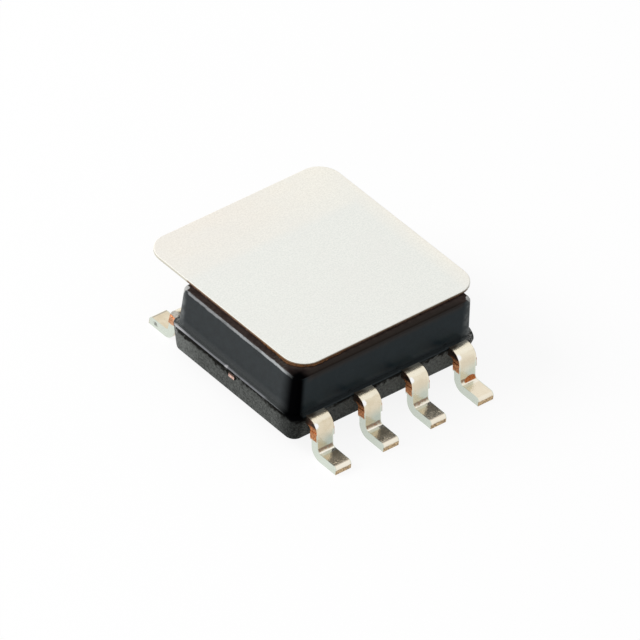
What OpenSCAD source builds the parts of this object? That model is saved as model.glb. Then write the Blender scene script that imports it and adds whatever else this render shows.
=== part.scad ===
// Eight-lead small-outline package (1.27 mm pitch, gull-wing leads) with a white cover
// sheet stuck on its top. Millimetres, +Z up. X runs along the lead rows, Y across them.
// Origin: centre of the lead pattern, on the plane that the feet stand on.

/* [Moulded body] */
// Length of the body along the lead rows, at the ledge
body_l = 4.93; // [4.7:0.01:5.3]
// Width of the body across the lead rows, at the ledge
body_w = 3.95; // [3.7:0.01:4.1]
// Height of the lower half, from the underside to the ledge
lower_h = 0.63; // [0.55:0.01:0.8]
// Height of the upper block above the ledge
upper_h = 0.91; // [0.7:0.01:1.5]
// Clear gap below the underside
standoff = 0.26; // [0.1:0.01:0.4]
// How far the upper block steps in from the lower half at each end
end_ledge = 0.11; // [0.04:0.01:0.2]
// How far the upper block steps in from the lower half along each side
side_ledge = 0.10; // [0.04:0.01:0.2]
// Draft of the lower half's walls, in degrees
lower_draft = 7.5; // [3:0.5:12]
// Draft of the upper block's walls, in degrees
upper_draft = 2; // [0.5:0.5:6]
// Radius of the lower half's upright corners
lower_corner_r = 0.2; // [0.1:0.01:0.3]
// Radius of the upper block's upright corners
upper_corner_r = 0.14; // [0.1:0.01:0.3]
// Radius of the upper block's top rim
rim_r = 0.07; // [0.03:0.01:0.09]
// Radius of the lower half's bottom edge
base_r = 0.05; // [0.02:0.01:0.09]

/* [Leads] */
// Distance between neighbouring leads in a row
pitch = 1.27; // [1.2:0.01:1.35]
// Distance from foot tip to foot tip across the body
lead_span = 5.9; // [5.7:0.01:6.4]
// Thickness of the leadframe strip
lead_t = 0.19; // [0.12:0.01:0.22]
// Width of a foot and of the riser's lower part
foot_w = 0.41; // [0.3:0.01:0.45]
// Width of a lead from the body down to where the dambar was cut off
shoulder_w = 0.46; // [0.46:0.01:0.6]
// Level run of a lead between the lower half's wall and its first bend
shoulder_l = 0.06; // [0.05:0.01:0.2]
// Inner radius of both bends
bend_r = 0.09; // [0.05:0.01:0.12]
// Lean of the riser from upright, in degrees
riser_lean = 8; // [2:1:15]
// Depth of the dambar's lower cut below the lead's top face
dambar_drop = 0.45; // [0.35:0.01:0.5]
// Height of the dambar's cut edges
dambar_h = 0.2; // [0.1:0.01:0.25]
// How far the dambar's cut edges stand out of each side of a lead
dambar_proud = 0.012; // [0.005:0.001:0.03]
// Rounding of the foot's upper tip edge
tip_r = 0.08; // [0.02:0.01:0.09]

/* [Leadframe inside the body] */
// Width of the finger that each lead ends in
finger_w = 0.4; // [0.3:0.01:0.5]
// How far the end leads' fingers lean in towards the middle
finger_shift = 0.45; // [0.2:0.01:0.6]
// Moulding left between the end leads' locking wings and the end walls
anchor_cover = 0.2; // [0.15:0.01:0.3]
// Length of the wings along the lead
anchor_l = 0.2; // [0.1:0.01:0.25]
// Distance of the wings from the upper block's wall
anchor_depth = 0.16; // [0.1:0.01:0.2]
// Length of the die paddle along the lead rows
paddle_l = 2.6; // [2:0.01:3.2]
// Width of the die paddle across the lead rows
paddle_w = 1.8; // [1.5:0.01:1.9]
// Gap between the paddle and the fingers
paddle_gap = 0.18; // [0.1:0.01:0.25]
// Width of the two tie bars that run from the paddle to the end walls
tie_w = 0.17; // [0.1:0.01:0.3]
// Thickness of the coined tie bars
tie_t = 0.11; // [0.06:0.01:0.12]

/* [Die and bond wires] */
// Length of the die
die_l = 1.7; // [1.4:0.01:1.9]
// Width of the die
die_w = 1.3; // [1:0.01:1.4]
// Thickness of the die
die_t = 0.25; // [0.15:0.01:0.3]
// Thickness of the die attach adhesive
attach_t = 0.025; // [0.01:0.005:0.05]
// How far the die attach shows round the die
attach_margin = 0.05; // [0.02:0.01:0.08]
// Distance between neighbouring bond pads along the die's edge
pad_pitch = 0.4; // [0.2:0.01:0.42]
// Distance of the bond pads from the die's edge
pad_inset = 0.1; // [0.05:0.01:0.2]
// Diameter of the bond wires
wire_d = 0.03; // [0.02:0.005:0.04]
// Height of the wire loops above the chord from pad to finger
wire_loop = 0.18; // [0.1:0.01:0.25]
// Distance of the wire's far end from the finger's tip
bond_inset = 0.12; // [0.06:0.01:0.15]

/* [Cover sheet] */
// Length of the sheet along the lead rows
sheet_l = 4.85; // [4:0.01:5.2]
// Width of the sheet across the lead rows
sheet_w = 4.9; // [4:0.01:5.4]
// Radius of the sheet's corners
sheet_r = 0.5; // [0.1:0.01:1]
// Thickness of the white film
film_t = 0.04; // [0.03:0.01:0.15]
// Thickness of the amber adhesive under the film
adhesive_t = 0.02; // [0.02:0.01:0.08]
// Bare strip of the block's top left beside the sheet at the -X end
sheet_end_inset = 0.18; // [0.05:0.01:0.4]
// Bare strip of the block's top left beside the sheet along the -Y side
sheet_side_inset = 0.23; // [0.05:0.01:0.4]
// Turn of the sheet on the block, in degrees
sheet_turn = 0.3; // [0:0.1:1]

/* [Hidden] */

mould_grey = [0.16, 0.17, 0.175];
tin = [0.8, 0.78, 0.72];
copper = [0.78, 0.5, 0.33];
silver_paste = [0.62, 0.62, 0.6];
silicon = [0.35, 0.37, 0.42];
gold = [0.9, 0.72, 0.3];
amber = [0.62, 0.36, 0.12];
white = [0.93, 0.92, 0.9];

row_count = 4;
row_middle = (row_count - 1) / 2;
corner_fn = 32;
arc_fn = 96;
skin = 0.002;          // thickness of the slices that the moulded shapes are hulled from
overlap = 0.05;        // how far one run of a piece reaches into the next

ledge_z = standoff + lower_h;
top_z = ledge_z + upper_h;
top_l = body_l - 2 * end_ledge - 2 * upper_h * tan(upper_draft);
top_w = body_w - 2 * side_ledge - 2 * upper_h * tan(upper_draft);
block_side = body_w / 2 - side_ledge;

// A lead's outline, seen along the row: u is the distance from the body's middle, v the height
bend_outer = bend_r + lead_t;
bend_mid = bend_r + lead_t / 2;
shoulder_u = body_w / 2 + shoulder_l;
upper_bend_z = ledge_z - bend_outer;
turn = 90 - riser_lean;
riser_len = (upper_bend_z - bend_outer + 2 * bend_mid * cos(turn)) / cos(riser_lean);
heel_u = shoulder_u + 2 * bend_mid * sin(turn) + riser_len * sin(riser_lean);
tip_u = lead_span / 2;

// Wings and fingers of the leads, and places of the die and the wires
anchor_w = body_l - (row_count - 1) * pitch - 2 * anchor_cover;
finger_tip_y = paddle_w / 2 + paddle_gap;
finger_bend_y = block_side - anchor_depth - anchor_l;
frame_z = ledge_z - lead_t;
die_z = ledge_z + attach_t;
die_top = die_z + die_t;
wire_rings = 10;
wire_sides = 8;

function lead_x(i) = (i - row_middle) * pitch;
function finger_x(i) = lead_x(i) - (i == 0 || i == row_count - 1 ? sign(lead_x(i)) * finger_shift : 0);
function pad_x(i) = (i - row_middle) * pad_pitch;

// ---- Shapes used more than once ----

// One level slice of a box with round upright corners, its underside at height z
module slice(l, w, r, z) {
    for (sx = [-1, 1], sy = [-1, 1])
        translate([sx * (l / 2 - r), sy * (w / 2 - r), z])
            cylinder(r = r, h = skin, $fn = corner_fn);
}

// Flat plate with round corners, standing on z = 0
module plate(l, w, r, t) {
    linear_extrude(t) {
        square([l - 2 * r, w], center = true);
        square([l, w - 2 * r], center = true);
        for (sx = [-1, 1], sy = [-1, 1])
            translate([sx * (l / 2 - r), sy * (w / 2 - r)]) circle(r, $fn = arc_fn);
    }
}

// Pie slice from angle a0 to a1, reaching past radius r
module pie(r, a0, a1) {
    mid = (a0 + a1) / 2;
    polygon([[0, 0], 2 * r * [cos(a0), sin(a0)], 2 * r * [cos(mid), sin(mid)], 2 * r * [cos(a1), sin(a1)]]);
}

// Bent stretch of strip, centred on its bend's axis
module bend(a0, a1) {
    intersection() {
        difference() {
            circle(bend_outer, $fn = arc_fn);
            circle(bend_r, $fn = arc_fn);
        }
        pie(bend_outer, a0, a1);
    }
}

// Puts a piece of row 1 (-Y side, numbers 1 to 4) or row 2 (+Y side, numbers 5 to 8) in place
module in_row(number) {
    if (number <= row_count) children();
    else rotate(180) children();
}

// ---- Moulded body ----

module lower_half() {
    run = (lower_h - base_r) * tan(lower_draft);
    hull() {
        slice(body_l, body_w, lower_corner_r, ledge_z - skin);
        slice(body_l - 2 * run, body_w - 2 * run, lower_corner_r, standoff + base_r);
        for (a = [0, 30, 60]) {
            inset = run + base_r * (1 - sin(a));
            slice(body_l - 2 * inset, body_w - 2 * inset, lower_corner_r, standoff + base_r * (1 - cos(a)));
        }
    }
}

module upper_block() {
    foot = overlap * tan(upper_draft);
    hull() {
        slice(body_l - 2 * end_ledge + 2 * foot, body_w - 2 * side_ledge + 2 * foot, upper_corner_r,
            ledge_z - overlap);
        for (a = [0 : 22.5 : 90]) {
            inset = rim_r * (1 - cos(a));
            slice(top_l - 2 * inset, top_w - 2 * inset, upper_corner_r,
                top_z - rim_r * (1 - sin(a)) - skin);
        }
    }
}

module body() {
    color(mould_grey) difference() {
        union() {
            lower_half();
            upper_block();
        }
        for (number = [1 : 2 * row_count]) {
            lead(number);
            wire(number);
        }
        paddle_shape();
        attach_shape();
        die_shape();
    }
}

// ---- Leads ----

// Foot, riser and shoulder as one bent strip, drawn with u across and v up
module lead_profile() {
    translate([0, frame_z]) translate([block_side - anchor_depth, 0])
        square([shoulder_u - block_side + anchor_depth, lead_t]);
    translate([shoulder_u, upper_bend_z]) bend(riser_lean, 90);
    translate([shoulder_u, upper_bend_z]) rotate(riser_lean)
        translate([bend_r, -riser_len]) square([lead_t, riser_len]);
    translate([heel_u, bend_outer]) bend(180 + riser_lean, 270);
    difference() {
        translate([heel_u, 0]) square([tip_u - heel_u, lead_t]);
        translate([tip_u - tip_r, lead_t - tip_r]) difference() {
            square(2 * tip_r);
            circle(tip_r, $fn = arc_fn);
        }
    }
}

// A strip of width w with the lead's outline, standing on the -Y side of the body
module bent_strip(w) {
    translate([-w / 2, 0, 0]) rotate([90, 0, -90]) rotate([0, 180, 0]) mirror([1, 0, 0])
        linear_extrude(w) lead_profile();
}

// The flat finger inside the body, with its locking wings
module finger(i) {
    shift = finger_x(i) - lead_x(i);
    h = finger_w / 2;
    translate([0, 0, frame_z]) linear_extrude(lead_t) {
        translate([-anchor_w / 2, -(block_side - anchor_depth)]) square([anchor_w, anchor_l]);
        polygon([
            [-h, -(finger_bend_y + anchor_l / 2)], [h, -(finger_bend_y + anchor_l / 2)],
            [h, -finger_bend_y], [shift + h, -finger_tip_y], [shift - h, -finger_tip_y], [-h, -finger_bend_y]
        ]);
    }
}

module lead_shape(i) {
    cut_z = ledge_z - dambar_drop;
    translate([lead_x(i), 0, 0]) {
        bent_strip(foot_w);
        intersection() {
            bent_strip(shoulder_w);
            translate([-shoulder_w, -lead_span, cut_z]) cube([2 * shoulder_w, lead_span, ledge_z]);
        }
        intersection() {
            bent_strip(shoulder_w + 2 * dambar_proud);
            translate([-shoulder_w, -lead_span, cut_z]) cube([2 * shoulder_w, lead_span, dambar_h]);
        }
        finger(i);
    }
}

module lead(number) {
    color(tin) in_row(number) lead_shape((number - 1) % row_count);
}

// ---- Leadframe paddle, die and wires ----

module paddle_shape() {
    translate([-paddle_l / 2, -paddle_w / 2, frame_z]) cube([paddle_l, paddle_w, lead_t]);
    intersection() {
        translate([-body_l / 2, -tie_w / 2, frame_z]) cube([body_l, tie_w, tie_t]);
        lower_half();
    }
}

module attach_shape() {
    translate([-die_l / 2 - attach_margin, -die_w / 2 - attach_margin, ledge_z])
        cube([die_l + 2 * attach_margin, die_w + 2 * attach_margin, attach_t]);
}

module die_shape() {
    translate([-die_l / 2, -die_w / 2, die_z]) cube([die_l, die_w, die_t]);
}

module die_paddle() { color(copper) paddle_shape(); }
module die_attach() { color(silver_paste) attach_shape(); }
module die() { color(silicon) die_shape(); }

// Ring k of a wire: it leaves the pad upright, arches over and lands upright on the finger
function wire_ring(k, from, to) =
    let (
        s = k / (wire_rings - 1),
        tilt = 180 * s,
        across = (1 - cos(tilt)) / 2,
        middle = from + (to - from) * across + [0, 0, wire_loop * sin(tilt)],
        flat = [to[0] - from[0], to[1] - from[1], 0] / norm([to[0] - from[0], to[1] - from[1]]),
        side = [-flat[1], flat[0], 0],
        up = flat * cos(tilt) - [0, 0, sin(tilt)]
    )
    [for (j = [0 : wire_sides - 1])
        middle + wire_d / 2 * (cos(360 * j / wire_sides) * side + sin(360 * j / wire_sides) * up)];

module wire_shape(i) {
    from = [pad_x(i), -(die_w / 2 - pad_inset), die_top];
    to = [finger_x(i), -(finger_tip_y + bond_inset), ledge_z];
    points = [for (k = [0 : wire_rings - 1]) each wire_ring(k, from, to)];
    n = wire_sides;
    walls = [for (k = [0 : wire_rings - 2], j = [0 : n - 1])
        [k * n + j, k * n + (j + 1) % n, (k + 1) * n + (j + 1) % n, (k + 1) * n + j]];
    near_end = [for (j = [n - 1 : -1 : 0]) j];
    far_end = [for (j = [0 : n - 1]) (wire_rings - 1) * n + j];
    polyhedron(points, concat(walls, [near_end, far_end]));
}

module wire(number) {
    color(gold) in_row(number) wire_shape((number - 1) % row_count);
}

// ---- Cover sheet ----

// Puts a layer of the sheet at height z, over the block's top
module on_top(z) {
    translate([
        -top_l / 2 + sheet_end_inset + sheet_l / 2,
        -top_w / 2 + sheet_side_inset + sheet_w / 2,
        z
    ]) rotate(sheet_turn) children();
}

module sheet_adhesive() {
    color(amber) on_top(top_z) plate(sheet_l, sheet_w, sheet_r, adhesive_t);
}

module cover_sheet() {
    color(white) on_top(top_z + adhesive_t) plate(sheet_l, sheet_w, sheet_r, film_t);
}

body();
lead(1);  // lead_1
lead(2);  // lead_2
lead(3);  // lead_3
lead(4);  // lead_4
lead(5);  // lead_5
lead(6);  // lead_6
lead(7);  // lead_7
lead(8);  // lead_8
die_paddle();
die_attach();
die();
wire(1);  // wire_1
wire(2);  // wire_2
wire(3);  // wire_3
wire(4);  // wire_4
wire(5);  // wire_5
wire(6);  // wire_6
wire(7);  // wire_7
wire(8);  // wire_8
sheet_adhesive();
cover_sheet();
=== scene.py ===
from math import copysign, cos, pi, radians, sin, tan

import bmesh
import bpy
from mathutils import Matrix, Vector, noise

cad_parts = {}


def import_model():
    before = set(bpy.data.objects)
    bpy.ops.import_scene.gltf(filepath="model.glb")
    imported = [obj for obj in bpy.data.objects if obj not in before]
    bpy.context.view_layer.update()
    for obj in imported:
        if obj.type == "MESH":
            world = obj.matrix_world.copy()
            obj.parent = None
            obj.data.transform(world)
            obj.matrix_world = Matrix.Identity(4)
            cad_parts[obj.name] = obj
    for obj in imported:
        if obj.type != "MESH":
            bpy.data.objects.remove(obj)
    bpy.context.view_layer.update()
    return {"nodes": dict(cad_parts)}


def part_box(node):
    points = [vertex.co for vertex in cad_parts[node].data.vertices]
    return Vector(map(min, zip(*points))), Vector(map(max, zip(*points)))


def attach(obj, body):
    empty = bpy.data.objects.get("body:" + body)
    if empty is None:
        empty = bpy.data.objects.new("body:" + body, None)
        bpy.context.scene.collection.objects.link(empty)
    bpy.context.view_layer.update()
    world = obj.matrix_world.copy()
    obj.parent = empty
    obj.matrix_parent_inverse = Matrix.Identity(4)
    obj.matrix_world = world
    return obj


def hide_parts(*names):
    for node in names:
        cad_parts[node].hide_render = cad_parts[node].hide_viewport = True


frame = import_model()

MM = 0.001

# ---- Sizes taken from the frame ----


def middle(node):
    lo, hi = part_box(node)
    return (lo + hi) / 2


def size(node):
    lo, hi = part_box(node)
    return hi - lo


ROW = 4        # leads in a row
PITCH = middle("lead_3").x - middle("lead_2").x
LEDGE_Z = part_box("lead_1")[1].z
TIP_Y = -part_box("lead_1")[0].y
STRIP_T = size("die_paddle").z
BODY_L = size("body").x
BODY_W = size("body").y
UNDERSIDE_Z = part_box("body")[0].z
TOP_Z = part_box("body")[1].z
ADHESIVE_T = size("sheet_adhesive").z
FILM_T = size("cover_sheet").z

# ---- Sizes of the moulding ----

END_LEDGE = 0.11 * MM
SIDE_LEDGE = 0.10 * MM
LOWER_DRAFT = radians(7.5)
UPPER_DRAFT = radians(2)
LOWER_CORNER_R = 0.2 * MM
UPPER_CORNER_R = 0.14 * MM
RIM_R = 0.07 * MM
BASE_R = 0.05 * MM
LEDGE_R = 0.022 * MM
LID_INSET = 0.01 * MM
CORNER_STEPS = 8
WALL_CUTS = 119
BASE_STEPS = 3
LOWER_STEPS = 18
LEDGE_STEPS = 4
BLOCK_STEPS = 24
RIM_STEPS = 6

# ---- Damage to the moulding: where it lies, how far it reaches and how deep it is ----

FLASH_START = 0.02 * MM
FLASH_MIDDLE = 0.09 * MM
FLASH_REACH = 0.08 * MM
FLASH_GRAIN = 0.05 * MM
FLASH_FINE_GRAIN = 0.022 * MM
FLASH_PATCH = 0.35 * MM
FLASH_DEPTH = 0.022 * MM
CHIP_X = 0.27 * MM
CHIP_UP = 0.02 * MM
CHIP_REACH = 0.075 * MM, 0.2 * MM, 0.05 * MM
CHIP_DEPTH = 0.045 * MM
WEAR_UP = 0.01 * MM
WEAR_REACH = 0.28 * MM
WEAR_DEPTH = 0.16 * MM
TIE_POCKET_R = 0.13 * MM
TIE_POCKET_DEPTH = 0.02 * MM

# ---- Sizes of a lead ----

FOOT_W = 0.41 * MM
SHOULDER_W = 0.46 * MM
SHOULDER_L = 0.06 * MM
BEND_R = 0.09 * MM
RISER_LEAN = radians(8)
DAMBAR_DROP = 0.45 * MM
DAMBAR_H = 0.2 * MM
DAMBAR_PROUD = 0.012 * MM
TIP_R = 0.08 * MM
SUNK = 0.002 * MM                # how far a lead's top lies below the ledge, inside the moulding
FINGER_W = 0.4 * MM
FINGER_SHIFT = 0.45 * MM
WING_W = 0.72 * MM
WING_L = 0.2 * MM
WING_DEPTH = 0.16 * MM
FINGER_TIP_Y = 1.08 * MM
BEND_STEPS = 12
TIP_STEPS = 8
LEAD_SHARP = radians(12)

# ---- Sizes of the paddle ----

PADDLE_L = 2.6 * MM
PADDLE_W = size("die_paddle").y
TIE_W = 0.17 * MM
TIE_T = 0.11 * MM
TIE_PROUD = 0.009 * MM
TORN_INSET = 0.2 * TIE_T
TORN_GRAIN = 0.03 * MM

# ---- Sizes of the cover sheet and the adhesive that has crept out from under it ----

SHEET_L = 4.85 * MM
SHEET_W = 4.9 * MM
SHEET_R = 0.5 * MM
SHEET_TURN = radians(0.3)
FILM_EDGE_R = 0.012 * MM
ADHESIVE_EDGE_R = 0.002 * MM
SHEET_EDGE_STEPS = 3
BEAD = 0.075 * MM
BEAD_CORNER = 1.2 * MM
BEAD_GRAIN = 0.25 * MM
BEAD_FINE_GRAIN = 0.07 * MM
BEAD_END_Y = 0.18 * SHEET_W
BEAD_SIDE_X = 0.38 * SHEET_L

# ---- Making meshes ----

SHARP = radians(35)
SAME_POINT = 1e-9
SLIVER = 1e-8
TOUCHING = 1e-7


def verts_of(geom):
    return [g for g in geom if isinstance(g, bmesh.types.BMVert)]


def edges_of(geom):
    return [g for g in geom if isinstance(g, bmesh.types.BMEdge)]


def faces_of(geom):
    return [g for g in geom if isinstance(g, bmesh.types.BMFace)]


def piece_from(bm, name, material, node, sharp=SHARP):
    """Turns a finished bmesh into a piece that rides on the body, in place of a CAD node."""
    bmesh.ops.remove_doubles(bm, verts=bm.verts, dist=SAME_POINT)
    bmesh.ops.dissolve_degenerate(bm, dist=SLIVER, edges=bm.edges)
    bmesh.ops.recalc_face_normals(bm, faces=bm.faces)
    for face in bm.faces:
        face.smooth = True
    mesh = bpy.data.meshes.new(name)
    bm.to_mesh(mesh)
    bm.free()
    mesh.set_sharp_from_angle(angle=sharp)
    mesh.materials.append(material)
    piece = bpy.data.objects.new(name, mesh)
    bpy.context.scene.collection.objects.link(piece)
    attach(piece, "root")
    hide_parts(node)


# ---- Rings: level outlines with round corners, stacked into a moulding or a sheet ----


def ring(bm, length, width, radius, z):
    """One level outline, returned as its edges."""
    before = set(bm.edges)
    corners = bmesh.ops.create_grid(bm, x_segments=1, y_segments=1, size=0.5)["verts"]
    bmesh.ops.scale(bm, vec=(length, width, 1), verts=corners)
    bmesh.ops.translate(bm, vec=(0, 0, z), verts=corners)
    bmesh.ops.bevel(bm, geom=corners, offset=radius, offset_type="OFFSET", affect="VERTICES",
                    segments=CORNER_STEPS, profile=0.5, material=-1)
    made = [edge for edge in bm.edges if edge not in before]
    faces = {face for edge in made for face in edge.link_faces}
    bmesh.ops.delete(bm, geom=list(faces), context="FACES_ONLY")
    sides = [edge for edge in made if edge.calc_length() > radius]
    bmesh.ops.subdivide_edges(bm, edges=sides, cuts=WALL_CUTS)
    return [edge for edge in bm.edges if edge not in before]


class Stack:
    """A wall that grows ring by ring from a first outline."""

    def __init__(self, bm, length, width, radius, z):
        self.bm = bm
        self.length = length
        self.width = width
        self.z = z
        self.first = self.last = ring(bm, length, width, radius, z)

    def to(self, z, grow=0.0):
        """Extrudes the last ring to height z and grows its outline by grow on each side."""
        made = bmesh.ops.extrude_edge_only(self.bm, edges=self.last)["geom"]
        verts = verts_of(made)
        inside = set(verts)
        length, width = self.length + 2 * grow, self.width + 2 * grow
        bmesh.ops.scale(self.bm, vec=(length / self.length, width / self.width, 1), verts=verts)
        bmesh.ops.translate(self.bm, vec=(0, 0, z - self.z), verts=verts)
        self.last = [e for e in edges_of(made) if e.verts[0] in inside and e.verts[1] in inside]
        self.length, self.width, self.z = length, width, z

    def climb(self, height, steps, draft):
        """Raises the wall by height, leaning it outwards by the draft angle."""
        for _ in range(steps):
            self.to(self.z + height / steps, height / steps * tan(draft))

    def round_out(self, radius, steps):
        """Curves the wall from level to upright."""
        for k in range(steps):
            a0, a1 = pi / 2 * k / steps, pi / 2 * (k + 1) / steps
            self.to(self.z + radius * (cos(a0) - cos(a1)), radius * (sin(a1) - sin(a0)))

    def round_in(self, radius, steps):
        """Curves the wall from upright to level."""
        for k in range(steps):
            a0, a1 = pi / 2 * k / steps, pi / 2 * (k + 1) / steps
            self.to(self.z + radius * (sin(a1) - sin(a0)), radius * (cos(a1) - cos(a0)))

    def lid(self):
        """Closes the last ring with a flat face, set in a little so that it shades as flat."""
        self.to(self.z, -LID_INSET)
        bmesh.ops.contextual_create(self.bm, geom=self.last)

    def start(self):
        """Closes the first ring."""
        bmesh.ops.contextual_create(self.bm, geom=self.first)


# ---- Moulded body ----


def lead_x(i):
    return (i - (ROW - 1) / 2) * PITCH


def inward(point):
    """Level direction into the moulding from a point on one of its walls."""
    if abs(point.x / BODY_L) > abs(point.y / BODY_W):
        return Vector((-copysign(1, point.x), 0, 0))
    return Vector((0, -copysign(1, point.y), 0))


def flash_roughness(point):
    """How far the moulding's skin is broken in, where the two mould halves met."""
    below = LEDGE_Z - point.z
    if below < FLASH_START:
        return 0.0
    grain = noise.noise(point / FLASH_GRAIN) + 0.6 * noise.noise(point / FLASH_FINE_GRAIN)
    patch = noise.noise(point / FLASH_PATCH + Vector((3, 1, 0)))
    near = max(0.0, 1 - abs(below - FLASH_MIDDLE) / FLASH_REACH)
    return near * max(0.0, grain + patch) * FLASH_DEPTH


def exit_chip(point):
    """Small hollow broken out of the moulding at one upper corner of each lead's exit."""
    deep = 0.0
    for i in range(ROW):
        for side in (-1, 1):
            chip = Vector((lead_x(i) + side * CHIP_X, side * BODY_W / 2, LEDGE_Z + CHIP_UP))
            far = sum((gap / reach) ** 2 for gap, reach in zip(point - chip, CHIP_REACH))
            deep = max(deep, 1 - far)
    return deep * CHIP_DEPTH


def tie_pocket(point):
    """Shallow pocket round the end of a tie bar."""
    away = Vector((point.y, point.z - LEDGE_Z + STRIP_T - TIE_T / 2)) / TIE_POCKET_R
    return max(0.0, 1 - away.length_squared) * TIE_POCKET_DEPTH


def corner_wear(point):
    """How far the ledge is worn down at one of its corners."""
    if point.z > LEDGE_Z + WEAR_UP:
        return 0.0
    corner = Vector((BODY_L / 2, -BODY_W / 2, LEDGE_Z))
    return max(0.0, 1 - (point - corner).length / WEAR_REACH) * WEAR_DEPTH


def body():
    bm = bmesh.new()
    wall_h = LEDGE_Z - UNDERSIDE_Z - BASE_R
    sole = wall_h * tan(LOWER_DRAFT) + BASE_R + LID_INSET
    lower = Stack(bm, BODY_L - 2 * sole, BODY_W - 2 * sole, LOWER_CORNER_R, UNDERSIDE_Z)
    lower.start()
    lower.to(UNDERSIDE_Z, LID_INSET)
    lower.round_out(BASE_R, BASE_STEPS)
    lower.climb(wall_h - LEDGE_R, LOWER_STEPS, LOWER_DRAFT)
    lower.round_in(LEDGE_R, LEDGE_STEPS)

    block_l, block_w = BODY_L - 2 * END_LEDGE, BODY_W - 2 * SIDE_LEDGE
    upper = Stack(bm, block_l, block_w, UPPER_CORNER_R, LEDGE_Z)
    upper.climb(TOP_Z - LEDGE_Z - RIM_R, BLOCK_STEPS, -UPPER_DRAFT)
    upper.round_in(RIM_R, RIM_STEPS)
    upper.lid()
    bmesh.ops.bridge_loops(bm, edges=lower.last + upper.first)

    for vert in bm.verts:
        point = vert.co.copy()
        depth = flash_roughness(point) + exit_chip(point) + tie_pocket(point)
        vert.co += inward(point) * depth
        vert.co.z -= corner_wear(point)
    piece_from(bm, "moulded_body", finish_mould(), "body")


# ---- Leads ----


class Strip:
    """A strip of metal drawn out from its end face, run by run."""

    def __init__(self, bm, width, thickness, place):
        self.bm = bm
        self.width = width
        corners = bmesh.ops.create_grid(bm, x_segments=1, y_segments=1, size=0.5)["verts"]
        bmesh.ops.scale(bm, vec=(width, thickness, 1), verts=corners)
        bmesh.ops.rotate(bm, matrix=Matrix.Rotation(pi / 2, 3, "X"), verts=corners)
        bmesh.ops.translate(bm, vec=place, verts=corners)
        self.end = corners[0].link_faces[0]

    def end_geom(self):
        return [self.end, *self.end.edges, *self.end.verts]

    def push(self, x, y, z):
        """Extrudes the end face by (x, y, z)."""
        made = bmesh.ops.extrude_face_region(self.bm, geom=self.end_geom())["geom"]
        self.end = faces_of(made)[0]
        bmesh.ops.translate(self.bm, vec=(x, y, z), verts=self.end.verts)

    def step(self, width, thicken=1.0):
        """Steps the strip to another width, and thickness over its underside, without moving on."""
        self.push(0, 0, 0)
        about = self.end.calc_center_bounds()
        about.z = min(vert.co.z for vert in self.end.verts)
        bmesh.ops.scale(self.bm, vec=(width / self.width, 1, thicken), verts=self.end.verts,
                        space=Matrix.Translation(-about))
        self.width = width

    def bend(self, y, z, angle):
        """Spins the end face about the axis along X through (y, z)."""
        made = bmesh.ops.spin(self.bm, geom=self.end_geom(), cent=(0, y, z), axis=(1, 0, 0), angle=angle,
                              steps=BEND_STEPS, use_merge=False, use_duplicate=False)
        self.end = faces_of(made["geom_last"])[0]


def lead(number, finish):
    i = (number - 1) % ROW
    bm = bmesh.new()
    block_side = BODY_W / 2 - SIDE_LEDGE
    shoulder_y = BODY_W / 2 + SHOULDER_L
    finger_bend_y = block_side - WING_DEPTH - WING_L
    bend_outer = BEND_R + STRIP_T
    bend_mid = BEND_R + STRIP_T / 2
    upper_bend_z = LEDGE_Z - bend_outer
    turn = pi / 2 - RISER_LEAN
    riser_top = upper_bend_z + bend_mid * cos(turn)
    riser_foot = bend_outer - bend_mid * cos(turn)
    lean = tan(RISER_LEAN)
    heel_y = shoulder_y + 2 * bend_mid * sin(turn) + (riser_top - riser_foot) * lean
    shift = {0: FINGER_SHIFT, ROW - 1: -FINGER_SHIFT}.get(i, 0.0)

    strip = Strip(bm, FINGER_W, STRIP_T, (shift, -FINGER_TIP_Y, LEDGE_Z - STRIP_T / 2))
    strip.push(-shift, FINGER_TIP_Y - finger_bend_y, 0)
    strip.step(WING_W)
    strip.push(0, -WING_L, 0)
    strip.step(SHOULDER_W)
    strip.push(0, finger_bend_y + WING_L - BODY_W / 2 + SUNK, 0)
    strip.push(0, BODY_W / 2 - SUNK - shoulder_y, 0)
    strip.bend(-shoulder_y, upper_bend_z, turn)
    cut_foot = LEDGE_Z - DAMBAR_DROP
    cut_top = min(cut_foot + DAMBAR_H, riser_top)
    strip.push(0, (cut_top - riser_top) * lean, cut_top - riser_top)
    strip.step(SHOULDER_W + 2 * DAMBAR_PROUD)
    strip.push(0, (cut_foot - cut_top) * lean, cut_foot - cut_top)
    strip.step(FOOT_W)
    strip.push(0, (riser_foot - cut_foot) * lean, riser_foot - cut_foot)
    strip.bend(-heel_y, bend_outer, -turn)
    strip.push(0, heel_y - TIP_Y, 0)

    top_edge = max(strip.end.edges, key=lambda edge: sum(vert.co.z for vert in edge.verts))
    bmesh.ops.bevel(bm, geom=[top_edge], offset=TIP_R, offset_type="OFFSET", affect="EDGES",
                    segments=TIP_STEPS, profile=0.5, material=-1)
    for vert in bm.verts:
        if abs(vert.co.y) < BODY_W / 2 and vert.co.z > LEDGE_Z - SUNK:
            vert.co.z -= SUNK
    bmesh.ops.translate(bm, vec=(lead_x(i), 0, 0), verts=bm.verts)
    if number > ROW:
        bmesh.ops.rotate(bm, matrix=Matrix.Rotation(pi, 3, "Z"), verts=bm.verts)
    name = f"lead_{number}"
    piece_from(bm, f"gull_wing_{name}", finish, name, sharp=LEAD_SHARP)


# ---- Die paddle with its two tie bars ----


def torn_end(bm, face):
    """Leaves the end face of a tie bar lumpy, as it was torn from the strip."""
    bmesh.ops.inset_individual(bm, faces=[face], thickness=TORN_INSET, use_even_offset=True)
    bmesh.ops.subdivide_edges(bm, edges=list(face.edges), cuts=1)
    away = face.normal.normalized()
    for vert in face.verts:
        lump = 0.5 + 0.5 * noise.noise(vert.co / TORN_GRAIN)
        vert.co += away * TIE_PROUD * lump


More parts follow.
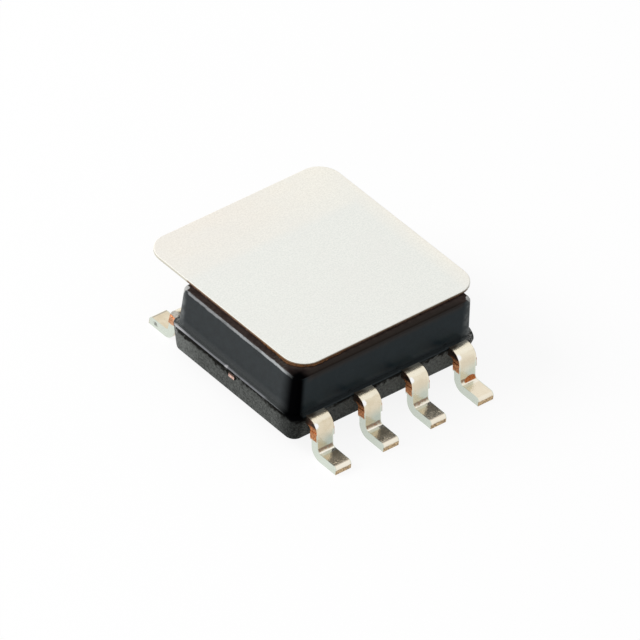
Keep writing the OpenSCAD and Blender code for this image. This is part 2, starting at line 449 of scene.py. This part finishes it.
def paddle():
    bm = bmesh.new()
    frame_z = LEDGE_Z - STRIP_T
    reach = size("die_paddle").x / 2
    strip = Strip(bm, TIE_W, TIE_T, (0, reach, frame_z + TIE_T / 2))
    strip.push(0, PADDLE_L / 2 - reach, 0)
    strip.step(PADDLE_W, STRIP_T / TIE_T)
    strip.push(0, -PADDLE_L, 0)
    strip.step(TIE_W, TIE_T / STRIP_T)
    strip.push(0, PADDLE_L / 2 - reach, 0)
    bmesh.ops.recalc_face_normals(bm, faces=bm.faces)
    ends = [face for face in bm.faces if abs(abs(face.calc_center_median().y) - reach) < TOUCHING]
    for face in ends:
        torn_end(bm, face)
    bmesh.ops.rotate(bm, matrix=Matrix.Rotation(pi / 2, 3, "Z"), verts=bm.verts)
    piece_from(bm, "paddle_and_tie_bars", finish_copper(), "die_paddle")


# ---- Cover sheet ----


def squeeze_out(point):
    """How far the adhesive has crept out from under the film, over the block's bare margin."""
    corner = Vector((-SHEET_L / 2, -SHEET_W / 2))
    near_corner = max(0.0, 1 - (point.xy - corner).length / BEAD_CORNER)
    creep = noise.noise(point / BEAD_GRAIN) * 0.5 + noise.noise(point / BEAD_FINE_GRAIN) * 0.4
    return BEAD * (0.3 + near_corner) * max(0.0, 0.5 + creep)


def spread_bead(edges):
    """Moves the adhesive's lower edge out along the end and the side that meet at one corner."""
    for vert in {vert for edge in edges for vert in edge.verts}:
        out = squeeze_out(vert.co)
        on_end = vert.co.x < SHEET_R - SHEET_L / 2 and vert.co.y < BEAD_END_Y
        on_side = vert.co.y < SHEET_R - SHEET_W / 2 and vert.co.x < BEAD_SIDE_X
        if on_end:
            vert.co.x -= out
        if on_side:
            vert.co.y -= out


def sheet_layer(name, material, node, z, thickness, edge_r, bead=False):
    bm = bmesh.new()
    layer = Stack(bm, SHEET_L, SHEET_W, SHEET_R, z)
    layer.start()
    if bead:
        spread_bead(layer.first)
    layer.to(z + thickness - edge_r)
    layer.round_in(edge_r, SHEET_EDGE_STEPS)
    layer.lid()
    place = middle("cover_sheet")
    bmesh.ops.rotate(bm, matrix=Matrix.Rotation(SHEET_TURN, 3, "Z"), verts=bm.verts)
    bmesh.ops.translate(bm, vec=(place.x, place.y, 0), verts=bm.verts)
    piece_from(bm, name, material, node)


# ---- Shader maths ----


class Value:
    """A number that varies over a surface: a socket with the arithmetic that finishes use."""

    def __init__(self, shader, socket):
        self.shader = shader
        self.socket = socket

    def maths(self, operation, *others):
        return self.shader.node("ShaderNodeMath", {"operation": operation}, [self, *others])

    def __add__(self, other):
        return self.maths("ADD", other)

    __radd__ = __add__

    def __mul__(self, other):
        return self.maths("MULTIPLY", other)

    __rmul__ = __mul__

    def __sub__(self, other):
        return self.maths("SUBTRACT", other)

    def __rsub__(self, other):
        return self.shader.node("ShaderNodeMath", {"operation": "SUBTRACT"}, [other, self])

    def __abs__(self):
        return self.maths("ABSOLUTE")

    def most(self, other):
        return self.maths("MAXIMUM", other)

    def least(self, other):
        return self.maths("MINIMUM", other)

    def wrapped(self, low, high):
        return self.maths("WRAP", high, low)

    def rise(self, low, high):
        """0 below low, 1 above high, with a smooth change between."""
        return self.shader.node("ShaderNodeMapRange", {"interpolation_type": "SMOOTHSTEP"},
                                {"Value": self, "From Min": low, "From Max": high})

    def fall(self, low, high):
        return 1 - self.rise(low, high)

    def between(self, low, high, soft):
        return self.rise(low - soft, low + soft) * self.fall(high - soft, high + soft)


class Shader:
    """A tree of shader nodes."""

    def __init__(self, tree):
        self.tree = tree

    def node(self, kind, settings=None, inputs=(), output=0):
        """Adds a node and gives one of its outputs."""
        made = self.tree.nodes.new(kind)
        for key, value in (settings or {}).items():
            setattr(made, key, value)
        pairs = inputs.items() if isinstance(inputs, dict) else enumerate(inputs)
        for key, value in pairs:
            if isinstance(value, Value):
                self.tree.links.new(value.socket, made.inputs[key])
            else:
                made.inputs[key].default_value = value
        return Value(self, made.outputs[output])

    def feed(self, value, node, socket):
        """Links a value to a node that the tree began with."""
        self.tree.links.new(value.socket, self.tree.nodes[node].inputs[socket])


class Finish(Shader):
    """A material on the part, varied over the surface by its point in millimetres."""

    def __init__(self, name, fixed):
        self.material = bpy.data.materials.new(name)
        self.material.use_nodes = True
        super().__init__(self.material.node_tree)
        for key, value in fixed.items():
            self.tree.nodes["Principled BSDF"].inputs[key].default_value = value
        metres = self.node("ShaderNodeTexCoord", output="Object")
        self.point = self.node("ShaderNodeVectorMath", {"operation": "SCALE"}, {0: metres, "Scale": 1 / MM})
        split = self.node("ShaderNodeSeparateXYZ", inputs=[self.point])
        self.x, self.y, self.z = (Value(self, socket) for socket in split.socket.node.outputs)

    def grain(self, size, detail, roughness=0.5, point=None):
        """Noise about size millimetres across, from 0 to 1."""
        inputs = {"Vector": point or self.point, "Scale": 1 / size, "Detail": detail, "Roughness": roughness}
        return self.node("ShaderNodeTexNoise", inputs=inputs, output="Fac")

    def away(self, centre, reach, point=None):
        """Distance from the centre, counted so that it is 1 at the given reach along each axis."""
        offset = self.node("ShaderNodeVectorMath", {"operation": "SUBTRACT"}, [point or self.point, centre])
        scaled = self.node("ShaderNodeVectorMath", {"operation": "DIVIDE"}, [offset, reach])
        return self.node("ShaderNodeVectorMath", {"operation": "LENGTH"}, [scaled], output="Value")

    def mix(self, mask, first, second):
        """Colour first where the mask is 0 and second where it is 1."""
        first, second = (tone if isinstance(tone, Value) else (*tone, 1) for tone in (first, second))
        return self.node("ShaderNodeMix", {"data_type": "RGBA"}, {0: mask, 6: first, 7: second}, output=2)

    def put(self, name, value):
        self.feed(value, "Principled BSDF", name)

    def bump(self, height, depth):
        """Relief of depth millimetres at height 1."""
        self.put("Normal", self.node("ShaderNodeBump", inputs={
            "Strength": 1, "Distance": depth * MM, "Height": height}))


# ---- Places in millimetres, as the finishes read them ----

END = BODY_L / 2 / MM
SIDE = BODY_W / 2 / MM
LEDGE = LEDGE_Z / MM
TOP = TOP_Z / MM
FOOT = STRIP_T / MM
TIP = TIP_Y / MM
LAST_LEAD = lead_x(ROW - 1) / MM
HALF_FOOT = FOOT_W / 2 / MM
HALF_SHOULDER = SHOULDER_W / 2 / MM

# ---- Black moulding ----


class MouldFinish(Finish):

    def __init__(self):
        super().__init__("black_mould_compound", {"Roughness": 0.6, "Specular IOR Level": 0,
                                                  "Coat Roughness": 0.3, "Coat IOR": 1.5})
        self.end_gap = END - abs(self.x)
        self.side_gap = SIDE - abs(self.y)
        self.from_ledge = self.z - LEDGE
        self.from_top = self.z - TOP
        self.corner = self.x * self.y
        self.filler = self.grain(0.022, 3)
        self.cloud = self.grain(0.12, 3)
        self.wander = self.grain(0.3, 2)
        self.crumbs = self.grain(0.05, 3).rise(0.45, 0.6)
        self.on_lower = self.from_ledge.fall(-0.05, -0.03)
        self.on_side = self.side_gap.fall(0.16, 0.2)
        self.on_margin = self.from_top.rise(-0.022, -0.014)

    def skin(self):
        """Upper block smooth and nearly black, with a painted bluish reflection on the long sides and a
        painted lighter band just above the ledge; lower half coarser and greyer, with painted light towards
        its far end and towards +X along the long side.
        """
        smooth = self.mix(self.cloud.rise(0.3, 0.7), (0.002, 0.0058, 0.0078), (0.0055, 0.0108, 0.0133))
        # painted reflection: the long sides tinted bluish
        smooth = self.mix(self.on_side * 0.5, smooth, (0.004, 0.015, 0.021))
        # painted light: a lighter band on the wall just above the ledge, weaker on the long sides
        painted_light_above_ledge = self.from_ledge.rise(-0.012, -0.002) * self.from_ledge.fall(0.01, 0.2)
        smooth = self.mix(painted_light_above_ledge * (1 - 0.5 * self.on_side), smooth, (0.055, 0.06, 0.061))
        speckle = self.filler.rise(0.36, 0.64) * 0.4 + self.grain(0.045, 3, 0.6).rise(0.36, 0.64) * 0.6
        coarse = self.mix(speckle, (0.02, 0.022, 0.02), (0.115, 0.122, 0.115))
        # painted light: the lower half paler towards its far end and towards +X along the long side
        painted_light_lower_half = self.y.rise(0.9, 1.6).most(self.x.rise(-1.2, 0.9) * self.on_side)
        coarse = self.mix(painted_light_lower_half * 0.45 * (0.5 + speckle), coarse, (0.19, 0.20, 0.19))
        return self.mix(self.on_lower, smooth, coarse)

    def painted_edge_highlights(self, tone):
        """Painted highlights along the block's rim and along the ledge, at the ends of the body."""
        broken = self.wander.rise(0.3, 0.5) * 0.4 + 0.6
        waver = (self.grain(0.12, 2) - 0.5) * 0.05
        far = self.y.rise(1.2, 1.8)
        # painted highlight along the rim; the coat is taken off there so that only this one shows
        rim_highlight = (self.from_top + waver).between(-0.07, -0.02, 0.012) * self.end_gap.fall(0.2, 0.25)
        self.rim_highlight = rim_highlight * self.side_gap.rise(0.30, 0.36) * broken
        on_ledge = self.from_ledge.rise(-0.026, -0.014) * self.from_ledge.fall(0.004, 0.012)
        # painted highlight along the ledge's outer edge, brighter towards the far end
        lip_highlight = (self.end_gap + waver * 0.4 - far * 0.008).fall(0.028, 0.048) * on_ledge
        self.lip_highlight = lip_highlight * (self.y + SIDE).rise(0.84, 1.0) * self.side_gap.rise(0.08, 0.16) * broken
        rim_highlight_tone = self.mix(self.y.fall(-1.5, 1.3), (0.24, 0.245, 0.25), (0.37, 0.385, 0.39))
        lip_highlight_tone = self.mix(far, (0.24, 0.245, 0.26), (0.6, 0.6, 0.62))
        return self.mix(self.lip_highlight * 0.8, self.mix(self.rim_highlight, tone, rim_highlight_tone), lip_highlight_tone)

    def nicked(self, tone):
        """Small pale nick in the ledge beside a tie bar."""
        nick = self.away((-END, 0.18, LEDGE - 0.03), (0.07, 0.055, 0.065)).fall(0.7, 1.1)
        return self.mix(nick, tone, (0.42, 0.42, 0.43))

    def browned(self, tone):
        """Bare margin of the block's top, brown, darker along the long sides, where the brown also fades
        down the wall below it; with pale crumbs near one corner.
        """
        blended = (self.from_top + (self.cloud - 0.5) * 0.05).rise(-0.2, 0)
        blended = blended * self.side_gap.fall(0.14, 0.2) * self.end_gap.rise(0.3, 0.5)
        brown = self.mix(self.cloud.rise(0.35, 0.65), (0.022, 0.014, 0.012), (0.037, 0.026, 0.022))
        along_side = self.side_gap.fall(0.22, 0.35) * self.end_gap.rise(0.3, 0.6)
        brown = self.mix(along_side * 0.9, brown, (0.016, 0.012, 0.0095))
        crumbled = self.crumbs * self.away((-2.25, -1.1, TOP), (0.2, 0.35, 1)).fall(0.5, 1)
        brown = self.mix(crumbled, brown, (0.05, 0.042, 0.036))
        return self.mix(self.on_margin.most(blended) * (1 - self.rim_highlight), tone, brown)

    def parting_band_and_tie_shade(self, tone):
        """Ragged dark band where the two mould halves met, and painted shade round the tie bar."""
        blots = (self.grain(0.09, 4, 0.65) - 0.5) * 1.5 + (self.wander - 0.5) * 0.8
        deeper = self.x.fall(-2.2, -2.1) * self.y.rise(-0.1, 0.5) * 0.17
        band = (self.from_ledge.rise(-0.36, 0.05) + blots + deeper).rise(0.5, 0.85)
        band = band * self.from_ledge.fall(-0.03, -0.02)
        bar = self.away((-END, 0, LEDGE - FOOT + TIE_T / 2 / MM), (0.2, 0.15, 0.1))
        # painted shade in the moulding round the tie bar's end
        tie_bar_shade = (bar + (self.cloud - 0.5) * 0.6).fall(0.8, 1.1) * self.on_lower
        self.band = band.most(tie_bar_shade)
        return self.mix(self.band * 0.9, tone, (0.006, 0.005, 0.004))

    def painted_dark_corners(self, tone):
        """Painted shade: the upright corners at the first lead and across from it, and the top margin beside
        them, are painted blacker than the walls.
        """
        wall = self.side_gap.fall(0.28, 0.68) * self.end_gap.fall(0.21, 0.36)
        top = self.on_margin * self.side_gap.fall(0.3, 0.6) * self.end_gap.fall(0.3, 0.6)
        # painted shade on these corners, weaker on the lower half
        corner_shade = wall.most(top) * self.corner.rise(3.0, 3.3)
        self.corner_shade = corner_shade * (0.55 + 0.45 * self.from_ledge.rise(-0.12, 0))
        return self.mix(self.corner_shade, tone, (0.001, 0.001, 0.0012))

    def corner_highlights_and_flash(self, tone):
        """Painted highlights down the other two upright corners and on the block's top at those corners,
        with dark flash and pale crumbs of flash at ledge level.
        """
        # painted highlight down these two upright corners
        corner_highlight = self.corner.fall(-4.1, -3.8) * (0.35 + self.cloud.rise(0.4, 0.65) * 0.5) * (1 - self.lip_highlight)
        tone = self.mix(corner_highlight * self.from_ledge.rise(-0.05, -0.02), tone, (0.13, 0.14, 0.14))
        flash = self.corner.fall(-4.3, -4.1) * self.from_ledge.between(-0.26, 0.04, 0.02)
        tone = self.mix(flash * 0.7 * (1 - self.lip_highlight), tone, (0.06, 0.062, 0.06))
        x, y = END - 0.2, SIDE - 0.19
        # painted highlights on the block's top at these two corners
        near_blob = self.away((x, -y, TOP), (0.08, 0.08, 0.1))
        far_blob = self.away((-x, y, TOP - 0.03), (0.09, 0.09, 0.12))
        blob = near_blob.least(far_blob) + (self.grain(0.06, 2) - 0.5) * 0.8
        return self.mix(blob.fall(0.75, 1.05).most(flash * self.crumbs * 0.55), tone, (0.40, 0.40, 0.39))


def finish_mould():
    f = MouldFinish()
    tone = f.browned(f.nicked(f.painted_edge_highlights(f.skin())))
    tone = f.corner_highlights_and_flash(f.painted_dark_corners(f.parting_band_and_tie_shade(tone)))
    f.put("Base Color", tone)
    gloss = 0.5 + f.filler * 0.24
    gloss = gloss * (1 - 0.5 * f.on_side) * (1 - 0.6 * f.on_lower) * (1 - 0.8 * f.on_margin)
    f.put("Coat Weight", gloss * (1 - f.corner_shade) * (1 - f.band) * (1 - f.rim_highlight) * (1 - f.lip_highlight))
    f.bump(f.filler + f.cloud * 0.6, 0.004)
    return f.material


# ---- Tinned leads ----


class TinFinish(Finish):

    def __init__(self):
        super().__init__("matt_tin_plate", {"Metallic": 0.82})
        half_pitch = PITCH / 2 / MM
        self.along = (self.x + half_pitch).wrapped(-half_pitch, half_pitch)
        self.from_ledge = self.z - LEDGE
        self.from_foot = self.z - FOOT
        self.from_exit = abs(self.y) - SIDE
        self.from_tip = abs(self.y) - TIP
        self.cloud = self.grain(0.16, 3)
        self.fine = self.grain(0.03, 3)
        self.patchy = self.fine.rise(0.35, 0.65)
        self.ragged = (self.fine - 0.5) * 0.05 + (self.cloud - 0.5) * 0.06
        self.inner = abs(self.along).fall(HALF_FOOT - 0.03, HALF_FOOT)
        self.flank = abs(self.along).rise(HALF_SHOULDER - 0.006, HALF_SHOULDER)
        self.far_end = self.x.rise(-1.9, 1.9)
        self.near_row = self.y.fall(-0.1, 0)
        self.on_foot = self.from_foot.fall(0.002, 0.01) * self.inner
        self.in_bend = self.inner * self.from_exit.rise(0.325, 0.365) * self.near_row

    def plating_and_painted_reflections(self):
        """Warm on the faces, with painted light on the leads towards the last one, a painted cool reflection
        down the riser and painted pale, cool sides low down.
        """
        tone = self.mix(self.cloud.rise(0.3, 0.7), (0.72, 0.62, 0.45), (0.80, 0.71, 0.54))
        # painted light: the leads paler towards the last one
        tone = self.mix(self.far_end * 0.55, tone, (0.96, 0.90, 0.74))
        blush = (self.from_ledge + self.ragged).between(-0.37, -0.15, 0.06) * self.far_end * self.inner
        tone = self.mix(blush * 0.4, tone, (0.60, 0.49, 0.34))
        # painted reflection: cool and greenish down the riser, stronger to one side
        down_riser = self.from_foot.rise(0.01, 0.05) * (self.from_ledge + self.ragged).fall(-0.53, -0.21)
        down_riser = down_riser * self.inner * (0.55 + 0.45 * self.along.rise(-0.15, 0.1))
        cool_reflection = self.mix(self.far_end, (0.49, 0.54, 0.47), (0.60, 0.64, 0.55))
        tone = self.mix(down_riser, tone, cool_reflection)
        # painted light: the lower sides pale and cool
        return self.mix((1 - self.inner) * self.from_ledge.fall(-0.39, -0.19), tone, (0.66, 0.71, 0.63))

    def bright_lines(self, tone):
        """Painted highlights on the upper bend, the toe and the heel, and a painted dark band just before
        the toe that narrows the toe's highlight.
        """
        crest = (self.from_ledge + self.ragged * 0.5).between(-0.06, -0.01, 0.02)
        tone = self.mix(crest * self.from_exit.rise(0.08, 0.14) * 0.55, tone, (1, 0.95, 0.80))
        toe = self.from_tip.rise(-0.06, -0.04) * self.inner
        tone = self.mix(toe * (1 - 0.4 * self.far_end), tone, (0.95, 0.92, 0.80))
        # painted shade just before the toe
        before_toe = self.from_tip.between(-0.09, -0.055, 0.006) * self.inner * self.x.fall(0.9, 1.6)
        tone = self.mix(before_toe * 0.8, tone, (0.40, 0.37, 0.32))
        tone = self.mix(self.on_foot * self.near_row * 0.12, tone, (0.86, 0.64, 0.46))
        heel = (self.from_foot + self.ragged * 0.15).between(-0.02, 0.014, 0.004)
        heel = heel * self.from_exit.fall(0.515, 0.555) * self.in_bend
        return self.mix(heel * (0.9 - 0.3 * self.far_end), tone, (1, 0.97, 0.88))

    def bare_copper(self, tone):
        """Cut faces, the cracked inside of the lower bend, a patch on the last lead and the tips."""
        cut_face = abs(self.along).rise(HALF_SHOULDER + 0.004, HALF_SHOULDER + 0.008)
        cut_face = cut_face.most(self.flank * self.from_ledge.rise(-0.29, -0.28))
        cut_foot = -DAMBAR_DROP / MM
        self.cut_face = cut_face * (self.from_ledge + self.ragged).rise(cut_foot, cut_foot + 0.03)
        near = self.mix(self.patchy, (0.30, 0.10, 0.03), (0.60, 0.26, 0.10))
        far = self.mix(self.patchy, (0.45, 0.20, 0.09), (0.80, 0.46, 0.28))
        tone = self.mix(self.cut_face, tone, self.mix(self.near_row, far, near))
        crease = (self.from_foot + self.ragged * 0.9).between(0.022, 0.085, 0.014) * self.in_bend
        self.crease = crease * (0.6 + self.patchy * 0.4)
        dull = self.mix(self.patchy, (0.09, 0.035, 0.015), (0.26, 0.13, 0.065))
        tone = self.mix(self.crease * 0.95, tone, dull)
        patch = self.away((LAST_LEAD + 0.06, 0, FOOT), (0.18, 10, 0.13)) + self.ragged
        patch = patch.fall(0.85, 1.05) * self.from_foot.rise(0.005, 0.015) * self.in_bend
        tone = self.mix(patch, tone, self.mix(self.patchy, (0.26, 0.07, 0.015), (0.50, 0.17, 0.05)))
        low = (self.from_foot + self.ragged * 0.6).fall(-0.1, -0.07)
        self.tip = self.from_tip.rise(-0.012, -0.004) * low
        sheared = self.mix(self.fine.rise(0.4, 0.6), (0.17, 0.09, 0.03), (0.60, 0.42, 0.21))
        return self.mix(self.tip * 0.9, tone, sheared)

    def shoulder_shade_and_wall_reflection(self, tone):
        """Painted shade under the near row's shoulders, paler tin under the far row's, and a painted dark
        reflection of the black wall where the lead leaves the body, paler to one side.
        """
        under = (self.from_ledge + self.ragged * 1.5 - self.near_row * 0.05).rise(-0.235, -0.19) * self.flank
        # painted shade on the near row, a paler tin on the far row
        near = self.mix(self.cloud.rise(0.45, 0.6), (0.012, 0.009, 0.008), (0.085, 0.04, 0.025))
        far = self.mix(self.patchy, (0.34, 0.32, 0.28), (0.58, 0.57, 0.51))
        tone = self.mix(under * 0.95, tone, self.mix(self.near_row, far, near))
        # painted reflection of the black wall on the shoulder beside the body
        wall_reflection = (self.from_exit + self.ragged * 1.6).fall(0.035, 0.12)
        self.wall_reflection = wall_reflection * self.from_ledge.rise(-0.27, -0.19)
        pale_side = (self.along + self.ragged * 2).rise(-0.14, 0.1)
        wall_reflection_tone = self.mix(pale_side, (0.03, 0.022, 0.016), (0.26, 0.26, 0.23))
        return self.mix(self.wall_reflection * 0.93, tone, wall_reflection_tone)

    def glint_and_scuff(self, tone):
        """A painted highlight on each shoulder's corner and a dark scuff on one far foot."""
        folded = self.node("ShaderNodeCombineXYZ", inputs=[self.along, self.y, self.z])
        # painted highlight on the corner of each shoulder
        glint = self.away((-0.19, -SIDE - 0.2, LEDGE - 0.1), (0.06, 0.3, 0.055), folded)
        glint = (glint + (self.fine - 0.5) * 0.6).fall(0.6, 1.15)
        tone = self.mix(glint * (1 - self.flank), tone, (1, 1, 1))
        scuff = self.away((-LAST_LEAD - HALF_FOOT, TIP - 0.21, FOOT - 0.09), (0.03, 0.07, 0.05))
        scuff = (scuff + (self.grain(0.04, 3) - 0.5) * 2).fall(0.5, 1.1)
        return self.mix(scuff * 0.75, tone, (0.10, 0.10, 0.09))


def finish_tin():
    f = TinFinish()
    tone = f.bare_copper(f.bright_lines(f.plating_and_painted_reflections()))
    f.put("Base Color", f.glint_and_scuff(f.shoulder_shade_and_wall_reflection(tone)))
    copper = f.cut_face.most(f.crease * 0.8).most(f.tip)
    f.put("Roughness", 0.15 + f.cloud * 0.1 - f.on_foot * 0.08 + copper * 0.2 + f.wall_reflection * 0.3)
    drawn = f.node("ShaderNodeVectorMath", {"operation": "MULTIPLY"}, [f.point, (1, 0.12, 0.12)])
    scratch = f.grain(0.02, 2, point=drawn)
    f.bump(f.cloud * 0.7 + f.fine * 0.35 + scratch * 0.3, 0.006)
    return f.material


# ---- Cover sheet, paddle and the pieces inside ----


def beyond_block(f):
    """1 where the sheet reaches out past the block."""
    return (f.y - SIDE).rise(-0.12, -0.04).most((f.x - END).rise(-0.12, -0.04))


def finish_film():
    f = Finish("white_cover_film", {"Roughness": 0.5, "Specular IOR Level": 0.3})
    past_side, past_end = f.y - SIDE, f.x - END
    fibre = f.grain(0.035, 4, 0.7)
    cloud = f.grain(0.8, 2)
    felt = fibre.rise(0.35, 0.65)
    over_side = past_side.rise(-0.25, 0.08) * 0.5 + past_side.rise(0.1, 0.7) * 0.3
    over_side = over_side + past_side.rise(0.85, 1.2) * 0.2
    over_end = past_end.rise(-0.25, 0.04) * 0.5 + past_end.rise(0, 0.22) * 0.5
    backed = f.mix(felt, (0.81, 0.825, 0.78), (0.92, 0.925, 0.875))
    warm = f.mix(felt, (0.86, 0.815, 0.74), (0.97, 0.925, 0.84))
    yellow = f.mix(felt, (0.875, 0.845, 0.76), (0.99, 0.96, 0.87))
    unbacked = f.mix((f.x + cloud).rise(0.4, 2.6), warm, yellow)
    tone = f.mix(over_side.most(over_end), backed, unbacked)
    tone = f.mix(cloud.rise(0.4, 0.7) * 0.25, tone, (0.86, 0.85, 0.81))
    below_face = f.z - (TOP_Z + ADHESIVE_T + FILM_T) / MM
    edge = f.mix(beyond_block(f), (0.30, 0.20, 0.12), (0.60, 0.58, 0.50))
    f.put("Base Color", f.mix(below_face.fall(-0.016, -0.002), tone, edge))
    f.bump(fibre + cloud, 0.003)
    return f.material


def finish_adhesive():
    f = Finish("amber_adhesive", {"Roughness": 0.4, "Specular IOR Level": 0.3})
    fine = f.grain(0.05, 3)
    mottle = fine.rise(0.3, 0.7)
    amber = f.mix(mottle, (0.055, 0.019, 0.0045), (0.15, 0.06, 0.015))
    dull = f.mix(mottle, (0.04, 0.02, 0.013), (0.11, 0.055, 0.04))
    from_corner = f.away(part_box("sheet_adhesive")[0] / MM, (1, 1, 1))
    tone = f.mix(from_corner.rise(0.9, 1.7), amber, dull)
    f.put("Base Color", f.mix(beyond_block(f), tone, (0.52, 0.49, 0.40)))
    f.bump(fine, 0.006)
    return f.material


def finish_copper():
    f = Finish("bare_copper", {"Metallic": 1})
    fine = f.grain(0.03, 3)
    from_bar_top = f.z - (LEDGE_Z - STRIP_T + TIE_T) / MM
    tone = f.mix(fine.rise(0.35, 0.65), (0.50, 0.24, 0.17), (0.86, 0.66, 0.58))
    # darker along the top of the bar
    dark_top = (from_bar_top + (fine - 0.5) * 0.06).rise(-0.05, -0.03)
    f.put("Base Color", f.mix(dark_top * 0.9, tone, (0.03, 0.02, 0.016)))
    f.put("Roughness", 0.35 + fine * 0.1)
    f.bump(fine, 0.003)
    return f.material


def finish_metal(name, dark, light, roughness, grain_size, depth):
    f = Finish(name, {"Metallic": 1})
    fine = f.grain(grain_size, 3)
    f.put("Base Color", f.mix(fine.rise(0.3, 0.7), dark, light))
    f.put("Roughness", roughness - 0.05 + fine * 0.1)
    f.bump(fine, depth)
    return f.material


# ---- Stage, light and camera ----

CAMERA_AZ = radians(-44.007)
CAMERA_EL = radians(38.793)
CAMERA_ROLL = radians(5.888)
CAMERA_AWAY = 223.34 * MM
CAMERA_LENS = 618.1
CAMERA_SENSOR = 36
CAMERA_NEAR = 10 * MM
CAMERA_FAR = 1000 * MM
CAMERA_AIM_Z = 0.9 * MM
FRAME_RIGHT = -0.0835 * MM
FRAME_UP = 0.1364 * MM
LAMP_AWAY = 160 * MM
LEFT_LAMP_FROM = -0.63, 0.56, 0.52
LEFT_LAMP_W = 104 * MM
LEFT_LAMP_WATTS = 0.195
TOP_LAMP_FROM = 0, 0.1, 1
TOP_LAMP_W = 142 * MM
TOP_LAMP_WATTS = 0.026
WORLD_LIGHT = 0.5
FLOOR_R = 60 * MM
FLOOR_GAP = 0.003 * MM
FLOOR_TONE = 0.8
FLOOR_SHADE = 0.12


def camera():
    back = Vector((sin(CAMERA_AZ) * cos(CAMERA_EL), -cos(CAMERA_AZ) * cos(CAMERA_EL), sin(CAMERA_EL)))
    right = Vector((cos(CAMERA_AZ), sin(CAMERA_AZ), 0))
    up = back.cross(right)
    side = right * cos(CAMERA_ROLL) + up * sin(CAMERA_ROLL)
    top = up * cos(CAMERA_ROLL) - right * sin(CAMERA_ROLL)
    data = bpy.data.cameras.new("camera")
    data.lens = CAMERA_LENS
    data.sensor_width = CAMERA_SENSOR
    data.clip_start = CAMERA_NEAR
    data.clip_end = CAMERA_FAR
    seen = bpy.data.objects.new("camera", data)
    place = Vector((0, 0, CAMERA_AIM_Z)) + side * FRAME_RIGHT + top * FRAME_UP + back * CAMERA_AWAY
    turn = Matrix((side, top, back)).transposed().to_4x4()
    seen.matrix_world = Matrix.Translation(place) @ turn
    bpy.context.scene.collection.objects.link(seen)
    bpy.context.scene.camera = seen


def soft_lamp(name, direction, width, watts):
    data = bpy.data.lights.new(name, "AREA")
    data.shape = "DISK"
    data.size = width
    data.energy = watts
    lamp = bpy.data.objects.new(name, data)
    toward = Vector(direction).normalized()
    lamp.location = toward * LAMP_AWAY
    lamp.rotation_euler = toward.to_track_quat("Z", "Y").to_euler()
    bpy.context.scene.collection.objects.link(lamp)


def seen_directly(shader):
    """1 for camera, glossy and transmission rays, 0 for the rays that light the part."""
    rays = "Is Camera Ray", "Is Glossy Ray", "Is Transmission Ray"
    first, *others = (shader.node("ShaderNodeLightPath", output=ray) for ray in rays)
    for other in others:
        first = first.most(other)
    return first


def world():
    """White where it is seen directly, and dimmer as a light on the part."""
    made = bpy.data.worlds.new("studio")
    bpy.context.scene.world = made
    made.use_nodes = True
    made.node_tree.nodes["Background"].inputs["Color"].default_value = (1, 1, 1, 1)
    shader = Shader(made.node_tree)
    strength = shader.node("ShaderNodeMapRange", inputs={
        "Value": seen_directly(shader), "To Min": WORLD_LIGHT, "To Max": 1})
    shader.feed(strength, "Background", "Strength")


def finish_floor():
    """White where it is seen directly, less the part's soft shadow, and matt and pale for other rays."""
    material = bpy.data.materials.new("pale_floor")
    material.use_nodes = True
    shader = Shader(material.node_tree)
    shader.tree.nodes.remove(shader.tree.nodes["Principled BSDF"])
    matt, shaded = (shader.node("ShaderNodeBsdfDiffuse", inputs={"Color": (grey, grey, grey, 1)})
                    for grey in (FLOOR_TONE, FLOOR_SHADE))
    white = shader.node("ShaderNodeEmission", inputs={"Strength": 1 - FLOOR_SHADE})
    pale = shader.node("ShaderNodeAddShader", inputs=[shaded, white])
    mixed = shader.node("ShaderNodeMixShader", inputs=[seen_directly(shader), matt, pale])
    shader.feed(mixed, "Material Output", "Surface")
    return material


def floor():
    bm = bmesh.new()
    bmesh.ops.create_circle(bm, cap_ends=True, radius=FLOOR_R, segments=64)
    mesh = bpy.data.meshes.new("floor")
    bm.to_mesh(mesh)
    bm.free()
    mesh.materials.append(finish_floor())
    plane = bpy.data.objects.new("floor", mesh)
    plane.location.z = -FLOOR_GAP
    bpy.context.scene.collection.objects.link(plane)


def dress(node, material):
    """Gives a CAD node its finish."""
    thing = frame["nodes"][node]
    thing.data.materials.clear()
    thing.data.materials.append(material)


# ---- The part ----

body()
tin = finish_tin()
for number in range(1, 2 * ROW + 1):
    lead(number, tin)
sheet_layer("adhesive_layer", finish_adhesive(), "sheet_adhesive",
            TOP_Z, ADHESIVE_T, ADHESIVE_EDGE_R, bead=True)
sheet_layer("white_film", finish_film(), "cover_sheet",
            TOP_Z + ADHESIVE_T, FILM_T, FILM_EDGE_R)
paddle()
dress("die_attach", finish_metal("silver_paste", (0.42, 0.42, 0.40), (0.62, 0.61, 0.58),
                                 roughness=0.55, grain_size=0.02, depth=0.004))
dress("die", finish_metal("silicon", (0.10, 0.11, 0.14), (0.2, 0.22, 0.26),
                          roughness=0.2, grain_size=0.1, depth=0.001))
gold = finish_metal("gold_wire", (0.72, 0.48, 0.14), (0.85, 0.62, 0.22),
                    roughness=0.25, grain_size=0.02, depth=0.001)
for number in range(1, 2 * ROW + 1):
    dress(f"wire_{number}", gold)

floor()
world()
soft_lamp("left_lamp", LEFT_LAMP_FROM, LEFT_LAMP_W, LEFT_LAMP_WATTS)
soft_lamp("top_lamp", TOP_LAMP_FROM, TOP_LAMP_W, TOP_LAMP_WATTS)
camera()
bpy.context.scene.view_settings.view_transform = "Standard"
